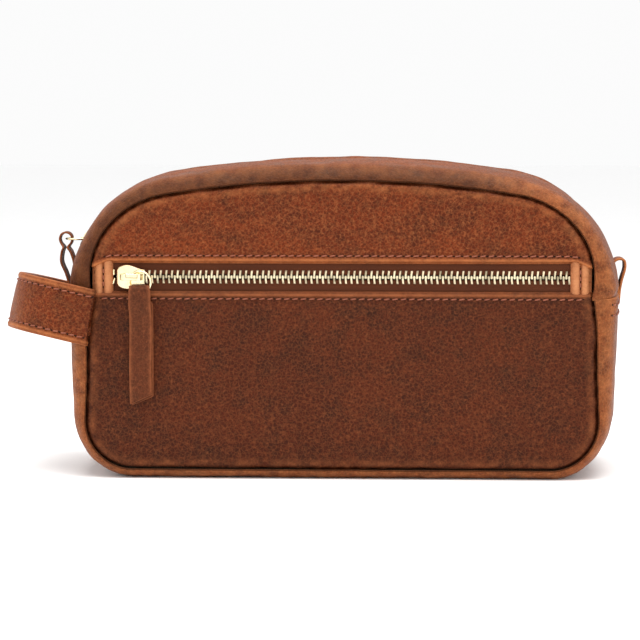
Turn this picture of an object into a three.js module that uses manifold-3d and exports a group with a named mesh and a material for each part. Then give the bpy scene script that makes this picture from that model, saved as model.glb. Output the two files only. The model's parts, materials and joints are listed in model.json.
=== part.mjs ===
// Shaving kit bag: a leather toiletry bag with a zipped front pocket, a zipped top mouth and a side handle.
// Frame: +X along the long side, +Y from the front to the back, +Z up, origin at the centre of the base.
// Lengths are in millimetres and angles in degrees.
import * as THREE from 'three';
import { mergeVertices } from 'three/addons/utils/BufferGeometryUtils.js';
import Module from 'manifold-3d';

const manifold = await Module();
manifold.setup();

// Body envelope
const bodyWidth = 250;
const bodyDepth = 96;
const bodyHeight = 143;
const topCornerRadius = 57;
const bottomCornerRadius = 30;
const crownAngle = 9;
const sideFlare = 2;

// Rolled edge between the front or back panel and the gusset, and the swell of the gusset behind it
const rollDepth = 9;
const rollInset = { base: 5, side: 8.5, top: 7.5 };
const swellInset = { base: 0, side: 4, top: 3.5 };

// Materials and fits
const leather = 1.8;
const lining = 0.8;
const gap = 0.3;
const foldGap = 0.4;

// Zips, a number 5 metal chain
const teethWidth = 2.4;
const teethHeight = 2.6;
const teethSpacing = 1.2;
const tapeThickness = 0.8;
const tapeWidth = 12;
const sliderLength = 12.2;
const sliderWidth = 11;
const sliderPlate = 1;
const sliderClearance = 0.3;
const postWidth = 0.6;
const bridgeBar = 0.9;
const bridgeLength = 7;
const bridgeWidth = 2.4;

// Front pocket
const pocketZipOpening = 13.8;
const pocketZipRise = 2.88;
const pocketTabWidth = 6.4;
const pocketTabInset = 1;
const pocketTapeSewn = 4;
const topStopLength = 1.3;
const topStopHeight = 1.6;
const sliderParking = 2.3;
const pocketWidth = 190;
const pocketFloor = 17;
const pocketThickness = 2.8;
const pocketPly = 0.5;

// Main zip
const mouthOpening = 14;
const zipRecess = 5;
const zipDipWidth = 10;
const mainSliderAngle = 25.5;
const teethEndAngle = 11;
const teethParkingAngle = 2.6;

// Ring and leather pulls
const ringRadius = 4.9;
const ringWire = 0.5;
const pocketRingTilt = 27;
const pullWidth = 9;
const pullNeck = 4.2;
const pullEye = 1.2;
const pullPly = 1.1;
const pullClearance = 0.3;
const pocketPullLength = 47;
const pocketPullCut = 4.5;
const mainPullLength = 21;
const mainPullCut = 2;

// Side handle
const handleReach = 42;
const handleHeight = 24;
const handleTilt = 13;
const handlePivotDrop = 8.65;
const handleInset = 13.5;
const handleOuterPly = 1.5;
const handleInnerPly = 1.2;
const handleClearance = 0.6;
const handleSquareness = 3.4;
const handleSag = 8;

// Folded tab over the right end of the main zip
const endTabHeight = 16;
const endTabWidth = 14;
const endTabThickness = 1.2;
const endTabLoop = 1.5;

const rad = THREE.MathUtils.degToRad;
const frontY = -bodyDepth / 2;
const cornerX = bodyWidth / 2 - topCornerRadius;
const crownRadius = cornerX / Math.sin(rad(crownAngle)) + topCornerRadius;
const crownRise = crownRadius * (1 - Math.cos(rad(crownAngle)));
const cornerZ = bodyHeight - topCornerRadius * Math.cos(rad(crownAngle)) - crownRise;
const jointZ = cornerZ;
const seamDepth = bodyDepth / 2 - gap;
const sideLine = (cornerZ - bottomCornerRadius * (1 - Math.sin(rad(sideFlare)))
  - topCornerRadius * Math.sin(rad(sideFlare))) / Math.cos(rad(sideFlare));
const baseHalf = bodyWidth / 2 - topCornerRadius * (1 - Math.cos(rad(sideFlare)))
  - sideLine * Math.sin(rad(sideFlare)) - bottomCornerRadius * Math.cos(rad(sideFlare));

const colours = {
  leather: 0x8c4a2a,
  leatherDark: 0x6c3321,
  lining: 0x4a4038,
  tape: 0x63341d,
  teeth: 0xb49a68,
  gold: 0xd9bd7a,
};

const group = new THREE.Group();

function material(kind) {
  const metal = kind === 'gold' || kind === 'teeth';
  return new THREE.MeshStandardMaterial({
    color: colours[kind],
    roughness: metal ? 0.28 : 0.6,
    metalness: metal ? 1 : 0,
  });
}

function add(name, kind, geometry) {
  const mesh = new THREE.Mesh(geometry, material(kind));
  mesh.name = name;
  group.add(mesh);
  return mesh;
}

// Solids from grids and outlines

function volumeOf(positions, indices) {
  const corner = (i) => new THREE.Vector3().fromArray(positions, 3 * i);
  let volume = 0;
  for (let i = 0; i < indices.length; i += 3) {
    const a = corner(indices[i]);
    const b = corner(indices[i + 1]);
    const c = corner(indices[i + 2]);
    volume += a.dot(b.cross(c)) / 6;
  }
  return volume;
}

// Closes two facing grids of points, [row][column], into one solid.
function slab(outer, inner) {
  const rows = outer.length;
  const columns = outer[0].length;
  const positions = [...outer, ...inner].flat().flatMap((p) => p.toArray());
  const at = (side, row, column) => (side * rows + row) * columns + column;
  const indices = [];
  const quad = (a, b, c, d) => indices.push(a, b, c, a, c, d);
  for (let r = 0; r + 1 < rows; r += 1) {
    for (let c = 0; c + 1 < columns; c += 1) {
      quad(at(0, r, c), at(0, r, c + 1), at(0, r + 1, c + 1), at(0, r + 1, c));
      quad(at(1, r, c), at(1, r + 1, c), at(1, r + 1, c + 1), at(1, r, c + 1));
    }
    quad(at(0, r, 0), at(0, r + 1, 0), at(1, r + 1, 0), at(1, r, 0));
    quad(at(0, r, columns - 1), at(1, r, columns - 1), at(1, r + 1, columns - 1), at(0, r + 1, columns - 1));
  }
  for (let c = 0; c + 1 < columns; c += 1) {
    quad(at(0, 0, c), at(1, 0, c), at(1, 0, c + 1), at(0, 0, c + 1));
    quad(at(0, rows - 1, c), at(0, rows - 1, c + 1), at(1, rows - 1, c + 1), at(1, rows - 1, c));
  }
  if (volumeOf(positions, indices) < 0) indices.reverse();
  const geometry = new THREE.BufferGeometry();
  geometry.setAttribute('position', new THREE.Float32BufferAttribute(positions, 3));
  geometry.setIndex(indices);
  return geometry;
}

// A plate with an outline in X and Z, from y = near to y = far.
function plate(points, near, far) {
  const shape = new THREE.Shape(points.map(([x, z]) => new THREE.Vector2(x, z)));
  const geometry = new THREE.ExtrudeGeometry(shape, { depth: far - near, bevelEnabled: false });
  geometry.rotateX(Math.PI / 2);
  geometry.translate(0, far, 0);
  return geometry;
}

function box(low, high) {
  const geometry = new THREE.BoxGeometry(...high.map((v, i) => v - low[i]));
  geometry.translate(...high.map((v, i) => (v + low[i]) / 2));
  return geometry;
}

function solidOf(geometry) {
  const bare = geometry.clone();
  bare.deleteAttribute('normal');
  bare.deleteAttribute('uv');
  const merged = mergeVertices(bare, 1e-4);
  return new manifold.Manifold(new manifold.Mesh({
    numProp: 3,
    vertProperties: new Float32Array(merged.attributes.position.array),
    triVerts: new Uint32Array(merged.index.array),
  }));
}

function geometryOf(solid) {
  const mesh = solid.getMesh();
  const geometry = new THREE.BufferGeometry();
  geometry.setAttribute('position', new THREE.Float32BufferAttribute(mesh.vertProperties, 3));
  geometry.setIndex(Array.from(mesh.triVerts));
  return geometry;
}

function union(...geometries) {
  return geometryOf(geometries.map(solidOf).reduce((a, b) => a.add(b)));
}

function subtract(geometry, ...cutters) {
  return geometryOf(cutters.map(solidOf).reduce((a, b) => a.subtract(b), solidOf(geometry)));
}

// Outline of the body seen from the front

function station(x, z, degrees) {
  return { x, z, nx: Math.cos(rad(degrees)), nz: Math.sin(rad(degrees)) };
}

function arc(cx, cz, radius, from, to, steps) {
  return Array.from({ length: steps }, (_, i) => {
    const angle = from + ((to - from) * (i + 1)) / steps;
    return station(cx + radius * Math.cos(rad(angle)), cz + radius * Math.sin(rad(angle)), angle);
  });
}

function mirrored(stations) {
  return stations.map(({ x, z, nx, nz }) => ({ x: -x, z, nx: -nx, nz })).reverse();
}

// Over the top, from the right side joint to the left one; sweep limits are angles up each side.
function overTop(rightFrom = 0, leftFrom = 0) {
  const side = (from) => [
    station(cornerX + topCornerRadius * Math.cos(rad(from)), cornerZ + topCornerRadius * Math.sin(rad(from)), from),
    ...arc(cornerX, cornerZ, topCornerRadius, from, 90 - crownAngle, 8),
    ...arc(0, bodyHeight - crownRadius, crownRadius, 90 - crownAngle, 90, 3),
  ];
  return [...side(rightFrom), ...mirrored(side(leftFrom)).slice(1)];
}

// Under the base, from the left side joint to the right one.
function underBase() {
  const flareX = baseHalf + bottomCornerRadius * Math.cos(rad(sideFlare));
  const flareZ = bottomCornerRadius * (1 - Math.sin(rad(sideFlare)));
  const right = [
    station(0, 0, -90),
    station(baseHalf, 0, -90),
    ...arc(baseHalf, bottomCornerRadius, bottomCornerRadius, -90, -sideFlare, 6),
    station(flareX + sideLine * Math.sin(rad(sideFlare)), flareZ + sideLine * Math.cos(rad(sideFlare)), -sideFlare),
    station(cornerX + topCornerRadius, cornerZ, 0),
  ];
  return [...mirrored(right), ...right.slice(1)];
}

function around(inset, { nz }) {
  const end = nz < 0 ? inset.base : inset.top;
  return inset.side + (end - inset.side) * nz * nz;
}

// How far the gusset's outer face lies inside the outline at a depth y.
function faceInset(s, y) {
  const reach = Math.abs(y);
  const rollStart = bodyDepth / 2 - rollDepth;
  const roll = Math.min(1, Math.max(0, (reach - rollStart) / rollDepth));
  const flat = mouthOpening / 2;
  const swell = Math.max(0, (reach - flat) / (bodyDepth / 2 - flat));
  const dip = Math.min(1, Math.max(0, 1 - (reach - flat) / zipDipWidth));
  const dipDepth = s.nz > 0 ? zipRecess - leather - gap : 0;
  return around(rollInset, s) * (1 - Math.sqrt(1 - roll * roll))
    + around(swellInset, s) * swell * swell
    + dipDepth * dip * dip * (3 - 2 * dip) * Math.min(1, Math.abs(s.nz) * 4);
}

function pointAt(s, inset, y) {
  return new THREE.Vector3(s.x - s.nx * inset, y, s.z - s.nz * inset);
}

// A shell between two insets, which stops foldGap / 2 short of the side joints.
function shell(stations, depths, inset, thickness, shapeOf = faceInset) {
  const shift = (p, s, i) => {
    const end = i === 0 || i === stations.length - 1;
    if (end && Math.abs(s.nz) < 1e-6) p.z += (stations[1].z > stations[0].z ? 1 : -1) * (foldGap / 2);
    return p;
  };
  const surface = (extra) => depths.map((y) => stations.map((s, i) => (
    shift(pointAt(s, shapeOf(s, y) + inset + extra, y), s, i))));
  return slab(surface(0), surface(thickness));
}

function spread(from, to, steps) {
  return Array.from({ length: steps + 1 }, (_, i) => from + ((to - from) * i) / steps);
}

// Depths from the seam to a stop, close together over the rolled edge.
function rollDepths(stop, side) {
  const start = bodyDepth / 2 - rollDepth;
  const over = spread(0, 1, 4).map((t) => start + (seamDepth - start) * Math.sin((Math.PI / 2) * (1 - t)));
  const flat = spread(start, stop, 4).slice(1);
  const depths = [...over, ...flat];
  return side < 0 ? depths.map((y) => -y) : depths;
}

// The body's outline at a depth, between two heights and inside its outer face by an inset.
function outlineAt(depth, low, high, inset) {
  const ring = [...overTop(), ...underBase().slice(1, -1)];
  const points = ring.map((s) => pointAt(s, faceInset(s, depth) + inset, 0)).map((p) => [p.x, p.z]);
  const cut = [];
  points.forEach(([x, z], i) => {
    const [nextX, nextZ] = points[(i + 1) % points.length];
    if (z >= low && z <= high) cut.push([x, z]);
    const crossings = [low, high].filter((h) => (z - h) * (nextZ - h) < 0);
    crossings.sort((a, b) => Math.abs(a - z) - Math.abs(b - z));
    crossings.forEach((h) => cut.push([x + ((nextX - x) * (h - z)) / (nextZ - z), h]));
  });
  return cut;
}

// Panels and gussets

const panelInset = leather + gap;
const pocketZipLow = jointZ + pocketZipRise;
const foldHeight = pocketZipLow + pocketZipOpening;
const foldLow = foldHeight - foldGap / 2;
const foldHigh = foldHeight + foldGap / 2;
const zipCentreZ = foldHeight - pocketZipOpening / 2;
const whole = bodyHeight * 2;

function buildPanels() {
  const front = (low, high) => plate(outlineAt(seamDepth, low, high, panelInset), frontY, frontY + leather);
  const back = (low, high) => plate(outlineAt(seamDepth, low, high, panelInset), -frontY - leather, -frontY);
  add('lower_front_panel', 'leather', front(0, pocketZipLow));
  add('upper_front_panel', 'leather', front(foldHigh, whole));
  add('lower_back_panel', 'leather', back(0, foldLow));
  add('upper_back_panel', 'leather', back(foldHigh, whole));
}

function buildGussets() {
  const seamToSeam = [...rollDepths(0, -1), ...rollDepths(0, 1).reverse().slice(1)];
  add('bottom_gusset', 'leather', shell(underBase(), seamToSeam, 0, leather));
  add('front_zip_gusset', 'leather', shell(overTop(), rollDepths(mouthOpening / 2, -1), 0, leather));
  add('back_zip_gusset', 'leather', shell(overTop(), rollDepths(mouthOpening / 2, 1), 0, leather));
}

// Lining

const liningFace = bodyDepth / 2 - leather - gap - pocketThickness - gap;
const lowerLiningInset = leather + gap;
const upperLiningInset = zipRecess + tapeThickness + gap;

function liningWall(low, high, inset, side) {
  const near = side < 0 ? -liningFace : liningFace - lining;
  return plate(outlineAt(liningFace, low, high, inset), near, near + lining);
}

function buildLining() {
  const depths = spread(-liningFace, liningFace, 8);
  const tub = shell(underBase(), depths, lowerLiningInset, lining);
  const jointLow = jointZ - foldGap / 2;
  const band = (near) => box([-pocketWidth / 2, near, jointLow - 1], [pocketWidth / 2, near + lining, foldLow]);
  const wallInset = lowerLiningInset + lining / 2;
  add('lower_lining', 'lining', union(
    tub,
    liningWall(0, jointLow, wallInset, -1),
    liningWall(0, jointLow, wallInset, 1),
    band(-liningFace),
    band(liningFace - lining),
  ));
  [['front_upper_lining', -1], ['back_upper_lining', 1]].forEach(([name, side]) => {
    const reach = spread(liningFace, mouthOpening / 2 + 2, 4).map((y) => side * y);
    const arch = shell(overTop(), reach, upperLiningInset, lining);
    add(name, 'lining', union(arch, liningWall(foldHigh, whole, upperLiningInset + lining / 2, side)));
  });
}

// Main zip: two rows of teeth on two tapes, over the top

const railInset = () => zipRecess;

function buildMainZip() {
  const tapeOuter = teethSpacing / 2 + teethWidth / 2 + tapeWidth;
  const teethEnd = mainSliderAngle + THREE.MathUtils.radToDeg(sliderLength / 2 / topCornerRadius) + teethParkingAngle;
  const teethInset = tapeThickness / 2 - teethHeight / 2;
  [['front', -1], ['back', 1]].forEach(([name, side]) => {
    const tape = [teethSpacing / 2 + teethWidth + gap, tapeOuter].map((y) => side * y);
    const teeth = [teethSpacing / 2, teethSpacing / 2 + teethWidth].map((y) => side * y);
    add(`${name}_zip_tape`, 'tape', shell(overTop(), tape, 0, tapeThickness, railInset));
    const rail = overTop(teethEndAngle, teethEnd);
    add(`${name}_zip_teeth`, 'teeth', shell(rail, teeth, teethInset, teethHeight, railInset));
  });
}

// Zip sliders: in a slider's own frame u runs along the chain, v outward and w across it.

function bentBox(low, high, place) {
  const geometry = new THREE.BoxGeometry(...high.map((v, i) => v - low[i]), 4, 1, 1);
  geometry.translate(...high.map((v, i) => (v + low[i]) / 2));
  const position = geometry.attributes.position;
  const p = new THREE.Vector3();
  for (let i = 0; i < position.count; i += 1) {
    p.fromBufferAttribute(position, i);
    place(p);
    position.setXYZ(i, p.x, p.y, p.z);
  }
  if (volumeOf(position.array, Array.from(geometry.index.array)) < 0) {
    geometry.setIndex(Array.from(geometry.index.array).reverse());
  }
  return geometry;
}

const channel = teethHeight / 2 + sliderClearance;
const chainDepth = leather + gap + tapeThickness / 2;
const bridgeAxis = chainDepth + pullEye + pullPly + pullClearance;

function sliderGeometry(place) {
  const l = sliderLength / 2;
  const w = sliderWidth / 2;
  const top = channel + sliderPlate;
  const barLow = bridgeAxis + ringWire + gap;
  const bar = barLow + bridgeBar;
  const leg = bridgeLength / 2;
  const b = bridgeWidth / 2;
  const bent = (low, high) => bentBox(low, high, place);
  return union(
    bent([-l, channel, -w], [l, top, w]),
    bent([-l, -top, -w], [l, -channel, w]),
    bent([-l, -channel - 0.2, -postWidth / 2], [-l + 3, channel + 0.2, postWidth / 2]),
    bent([-leg - 1, top - 0.2, -b], [-leg, bar, b]),
    bent([leg, top - 0.2, -b], [leg + 1, bar, b]),
    bent([-leg - 1, barLow, -b], [leg + 1, bar, b]),
  );
}

// Folded leather pull: it hangs down from an eye round the ring's wire, with its width along X.
function pullGeometry(length, cut) {
  const outer = pullEye + pullPly;
  const eye = new THREE.Shape();
  eye.absarc(0, 0, outer, 0, 2 * Math.PI);
  const hole = new THREE.Path();
  hole.absarc(0, 0, pullEye, 0, 2 * Math.PI, true);
  eye.holes.push(hole);
  const loop = new THREE.ExtrudeGeometry(eye, { depth: pullNeck, bevelEnabled: false, curveSegments: 8 });
  loop.translate(0, 0, -pullNeck / 2);
  loop.rotateY(Math.PI / 2);
  const half = pullPly + gap / 2;
  const neck = box([-pullNeck / 2, -half, -outer - 3], [pullNeck / 2, half, -outer + 0.4]);
  const w = pullWidth / 2;
  const sheet = plate([[-w, -outer - 1.5], [-w, -length], [w, -length + cut], [w, -outer - 1.5]], -half, half);
  const slit = box([-pullWidth, -gap / 2, -2 * length], [pullWidth, gap / 2, -outer - 3]);
  return subtract(union(loop, neck, sheet), slit);
}

function ringGeometry() {
  return new THREE.TorusGeometry(ringRadius, ringWire, 6, 20);
}

// Pocket zip, across the front

const chainY = frontY + chainDepth;
const panelHalf = (height) => Math.max(...outlineAt(seamDepth, height, whole, panelInset).map(([x]) => x));
const tabRight = panelHalf(foldHeight) - pocketTabInset;
const tabLeft = -tabRight;
const pocketSliderX = tabLeft + pocketTabWidth + sliderParking + sliderLength / 2;

function buildPocketZip() {
  const tapeY = [chainY - tapeThickness / 2, chainY + tapeThickness / 2];
  const teethY = [chainY - teethHeight / 2, chainY + teethHeight / 2];
  const tabY = [tapeY[0] - gap - 1, tapeY[0] - gap];
  const zipLow = pocketZipLow + gap;
  const zipHigh = foldLow - gap;
  const strip = (low, high, y, left, right) => box([left, y[0], low], [right, y[1], high]);
  const half = teethSpacing / 2;
  const stopLeft = tabLeft + pocketTabWidth + gap;
  const teethLeft = stopLeft + topStopLength + gap;
  const teethRight = tabRight - pocketTabWidth - gap;
  const tapeEdge = half + teethWidth + gap;
  add('pocket_zip_tape_lower', 'tape', strip(zipLow, zipCentreZ - tapeEdge, tapeY, tabLeft, tabRight));
  const teethRow = (low) => strip(low, low + teethWidth, teethY, teethLeft, teethRight);
  const tapeHigh = foldHeight + pocketTapeSewn;
  const tapeHalf = panelHalf(tapeHigh) - pocketTabInset;
  add('pocket_zip_tape_upper', 'tape', strip(zipCentreZ + tapeEdge, tapeHigh, tapeY, -tapeHalf, tapeHalf));
  add('pocket_zip_teeth_lower', 'teeth', teethRow(zipCentreZ - half - teethWidth));
  add('pocket_zip_teeth_upper', 'teeth', teethRow(zipCentreZ + half));
  const stop = (low) => strip(low, low + topStopHeight, teethY, stopLeft, stopLeft + topStopLength);
  add('pocket_top_stop_lower', 'gold', stop(zipCentreZ - half - topStopHeight));
  add('pocket_top_stop_upper', 'gold', stop(zipCentreZ + half));
  add('pocket_end_tab_left', 'leather', strip(zipLow, zipHigh, tabY, tabLeft, tabLeft + pocketTabWidth));
  add('pocket_end_tab_right', 'leather', strip(zipLow, zipHigh, tabY, tabRight - pocketTabWidth, tabRight));
}

function buildPocketLining() {
  const top = pocketZipLow - gap;
  const near = frontY + leather + gap;
  const far = near + pocketThickness;
  const w = pocketWidth / 2;
  const bag = box([-w, near, pocketFloor], [w, far, top]);
  const inner = w - pocketPly;
  const hollow = box([-inner, near + pocketPly, pocketFloor + pocketPly], [inner, far - pocketPly, top + 1]);
  add('pocket_lining', 'lining', subtract(bag, hollow));
}

function buildPocketPull() {
  const place = (p) => p.set(pocketSliderX + p.x, chainY - p.y, zipCentreZ + p.z);
  add('pocket_slider', 'gold', sliderGeometry(place));
  const ringY = chainY - bridgeAxis;
  const tilt = rad(pocketRingTilt);
  const centreX = pocketSliderX + ringRadius * Math.cos(tilt);
  const centreZ = zipCentreZ - ringRadius * Math.sin(tilt);
  const ring = ringGeometry();
  ring.rotateX(Math.PI / 2);
  ring.translate(centreX, ringY, centreZ);
  add('pocket_ring', 'gold', ring);
  const pull = pullGeometry(pocketPullLength, pocketPullCut);
  pull.translate(centreX, ringY, centreZ - ringRadius);
  add('pocket_pull', 'leatherDark', pull);
}

// Main slider, on the left corner, with its ring standing out level

function buildMainPull() {
  const railRadius = topCornerRadius - zipRecess - tapeThickness / 2;
  const polar = (radius, degrees) => [
    -cornerX - radius * Math.cos(rad(degrees)),
    cornerZ + radius * Math.sin(rad(degrees)),
  ];
  const place = (p) => {
    const degrees = mainSliderAngle - THREE.MathUtils.radToDeg(p.x / railRadius);
    const [x, z] = polar(railRadius + p.y, degrees);
    return p.set(x, p.z, z);
  };
  add('main_slider', 'gold', sliderGeometry(place));
  const [x, z] = polar(railRadius + bridgeAxis, mainSliderAngle);
  const ring = ringGeometry();
  ring.translate(x - ringRadius, 0, z);
  add('main_ring', 'gold', ring);
  const pull = pullGeometry(mainPullLength, mainPullCut);
  pull.rotateZ(Math.PI / 2);
  pull.translate(x - 2 * ringRadius, 0, z);
  add('main_pull', 'leatherDark', pull);
}

// Side handle: a strap in a loop from the front seam to the back seam

const handleThickness = handleInnerPly + gap + handleOuterPly;

function handlePly(inner, outer) {
  const reach = (offset) => spread(-90, 90, 20).map((degrees) => {
    const c = Math.abs(Math.cos(rad(degrees))) ** (2 / handleSquareness);
    const s = Math.abs(Math.sin(rad(degrees))) ** (2 / handleSquareness) * Math.sign(degrees);
    const halfSpan = bodyDepth / 2 + handleClearance;
    return [-(handleReach - handleThickness + offset) * c, (halfSpan + offset) * s];
  });
  const sag = (y) => (handleSag * (y + bodyDepth / 2)) / bodyDepth;
  const column = (points, z) => points.map(([x, y]) => new THREE.Vector3(x, y, z - sag(y)));
  const levels = [-handleHeight / 2, handleHeight / 2];
  const geometry = slab(
    levels.map((z) => column(reach(outer), z)),
    levels.map((z) => column(reach(inner), z)),
  );
  geometry.rotateY(rad(handleTilt));
  geometry.translate(-bodyWidth / 2 + handleInset, 0, jointZ - handlePivotDrop);
  return geometry;
}

function buildHandle() {
  const split = handleInnerPly + gap;
  add('handle_backing', 'leatherDark', handlePly(0, handleInnerPly));
  add('handle_strap', 'leather', handlePly(split, split + handleOuterPly));
}

// Folded tab that covers the right end of the main zip

function buildEndTab() {
  const t = endTabThickness;
  const low = jointZ + foldGap;
  const high = low + endTabHeight;
  const bend = endTabLoop + t;
  const side = (offset) => [
    [-gap / 2 - offset, low],
    [-gap / 2 - offset, low + endTabHeight / 4],
    [-endTabLoop - offset, high - bend],
  ];
  const turn = (radius) => spread(180, 0, 8).map((a) => [
    radius * Math.cos(rad(a)),
    high - bend + radius * Math.sin(rad(a)),
  ]);
  const flip = (points) => points.map(([x, z]) => [-x, z]).reverse();
  const line = (offset, radius) => [...side(offset), ...turn(radius).slice(1, -1), ...flip(side(offset))];
  const outline = [...line(t, bend), ...line(0, endTabLoop).reverse()];
  const tab = plate(outline, -endTabWidth / 2, endTabWidth / 2);
  tab.translate(bodyWidth / 2 + bend + gap, 0, 0);
  add('zip_end_tab', 'leather', tab);
}

buildPanels();
buildGussets();
buildLining();
buildMainZip();
buildPocketZip();
buildPocketLining();
buildPocketPull();
buildMainPull();
buildHandle();
buildEndTab();

export default group;
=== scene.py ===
"""Shaving kit bag: leather, zips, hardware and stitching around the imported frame.
"""

import json
import math

import bmesh
import bpy
import numpy as np
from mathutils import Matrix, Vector, noise


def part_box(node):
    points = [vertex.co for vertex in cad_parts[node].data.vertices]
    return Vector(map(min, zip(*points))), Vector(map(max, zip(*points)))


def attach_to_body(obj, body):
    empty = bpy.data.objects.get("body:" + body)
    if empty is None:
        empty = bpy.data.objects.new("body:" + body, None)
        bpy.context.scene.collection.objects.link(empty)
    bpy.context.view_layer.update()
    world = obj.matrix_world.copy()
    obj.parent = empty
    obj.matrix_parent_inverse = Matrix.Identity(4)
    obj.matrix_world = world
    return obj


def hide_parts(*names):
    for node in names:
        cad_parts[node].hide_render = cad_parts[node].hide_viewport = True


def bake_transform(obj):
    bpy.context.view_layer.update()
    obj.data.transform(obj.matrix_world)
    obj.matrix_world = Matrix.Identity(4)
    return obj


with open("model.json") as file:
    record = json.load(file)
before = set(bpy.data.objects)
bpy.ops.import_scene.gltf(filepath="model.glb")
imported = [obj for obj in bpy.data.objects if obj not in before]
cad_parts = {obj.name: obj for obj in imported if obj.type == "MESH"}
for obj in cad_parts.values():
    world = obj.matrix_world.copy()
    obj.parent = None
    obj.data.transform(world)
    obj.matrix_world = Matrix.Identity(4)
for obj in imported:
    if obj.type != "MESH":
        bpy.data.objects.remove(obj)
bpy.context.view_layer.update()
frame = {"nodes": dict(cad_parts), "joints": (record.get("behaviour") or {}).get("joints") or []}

MM = 0.001


def box_mm(node):
    low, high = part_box(node)
    return np.array(low) / MM, np.array(high) / MM


def joint_mm(name):
    found = next(j for j in frame["joints"] if j["name"] == name)
    return np.array(found["pos_m"]) / MM


# Sizes taken from the frame
lower_low, lower_high = box_mm("lower_front_panel")
upper_low = box_mm("upper_front_panel")[0]
slider_low, slider_high = box_mm("pocket_slider")
tab_low = box_mm("pocket_end_tab_left")[0]
teeth_low, teeth_high = box_mm("pocket_zip_teeth_lower")
ring_low, ring_high = box_mm("pocket_ring")
pull_low, pull_high = box_mm("pocket_pull")
main_ring_low, main_ring_high = box_mm("main_ring")
main_pull_low = box_mm("main_pull")[0]
end_tab_low, end_tab_high = box_mm("zip_end_tab")
corner_x = -joint_mm("main_slider_travel")[0]
corner_z = joint_mm("main_slider_travel")[2]
handle_pivot = joint_mm("handle_swing")
fold = joint_mm("front_flap_fold")

HALF_DEPTH = -lower_low[1]
HALF_WIDTH = 125.0
LEATHER = lower_high[1] - lower_low[1]
TOP_RADIUS = HALF_WIDTH - corner_x
BODY_HEIGHT = 143.0
BOTTOM_RADIUS = 30.0
CROWN = math.radians(9)
FLARE = math.radians(2)
SEAM_DEPTH = HALF_DEPTH - 0.3

# The rolled edge and the swell of the gusset: how far each lies inside the outline
ROLL_DEPTH = 9.0
ROLL = {"base": 5.0, "side": 8.5, "top": 7.5}
SWELL = {"base": 0.0, "side": 4.0, "top": 3.5}
ZIP_PINCH = 3.2
LOW_CORNER = 3.3
HIGH_CORNER = 2.2
FLANGE_RADIUS = 1.1
FLANGE_END = 2.6
MOUTH_HALF = 7.0
ZIP_DIP = 2.9
ZIP_DIP_WIDTH = 10.0
ZIP_RECESS = 5.0
MOUTH_SEW = 3.4
LAP_STEP = 1.1
LAP_HEIGHT = 5
BUTT_JOINT = -2.5
BUTT_HEIGHT = 12
BASE_SEED = 2.0

# Zips
PITCH = 2.54
TAPE_THICKNESS = 0.8
TAPE_EDGE = 1.5
CORD_PLACE = 1.9
CORD_WIDTH = 0.5
TOOTH_TOP = 1.2
TOOTH_FOOT = 2.95
RAIL_RADIUS = TOP_RADIUS - ZIP_RECESS - TAPE_THICKNESS / 2
TEETH_RIGHT_END = math.radians(8)
TEETH_LEFT_END = math.radians(34.4)

# Stitching
STITCH_PITCH = 3.7
STITCH_SLANT = 0.16
STITCH_LIFT = 0.05
THREAD = 0.34
NEEDLE_HOLE = 0.52

WHITE_LIGHT = (1.0, 0.985, 0.965)


# Camera, floor and light

def add_object(name, data):
    made = bpy.data.objects.new(name, data)
    bpy.context.scene.collection.objects.link(made)
    return made


def aim_at(made, place, direction):
    made.location = place
    made.rotation_mode = "QUATERNION"
    made.rotation_quaternion = direction.to_track_quat("-Z", "Y")


def build_camera():
    distance = 1200
    azimuth, elevation = math.radians(2.6), math.radians(4.6)
    aim = np.array([-9.3, -HALF_DEPTH, 71.5])
    away = np.array([
        math.sin(azimuth) * math.cos(elevation),
        -math.cos(azimuth) * math.cos(elevation),
        math.sin(elevation),
    ])
    data = bpy.data.cameras.new("camera")
    data.lens = 151.9
    data.sensor_width = 36
    data.clip_start = 0.05
    data.clip_end = 20
    camera = add_object("camera", data)
    aim_at(camera, Vector(aim + away * distance) * MM, Vector(-away))
    bpy.context.scene.camera = camera


def area_light(name, place, aim, size, power):
    data = bpy.data.lights.new(name, "AREA")
    data.shape = "RECTANGLE"
    data.size, data.size_y = size
    data.energy = power
    data.color = WHITE_LIGHT
    aim_at(add_object(name, data), place, Vector(aim) - Vector(place))


def build_lights():
    area_light("top_softbox", (0.1, -0.25, 1.25), (0, 0, 0.05), (1.3, 1.0), 19)
    area_light("left_softbox", (-1.3, -0.9, 0.65), (0, 0, 0.07), (0.8, 1.1), 5)
    area_light("right_softbox", (1.3, -1.0, 0.6), (0, 0, 0.07), (0.8, 1.1), 4)
    area_light("front_card", (0.0, -2.2, 0.5), (0, 0, 0.08), (1.6, 0.9), 2)


# Node helpers

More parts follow.
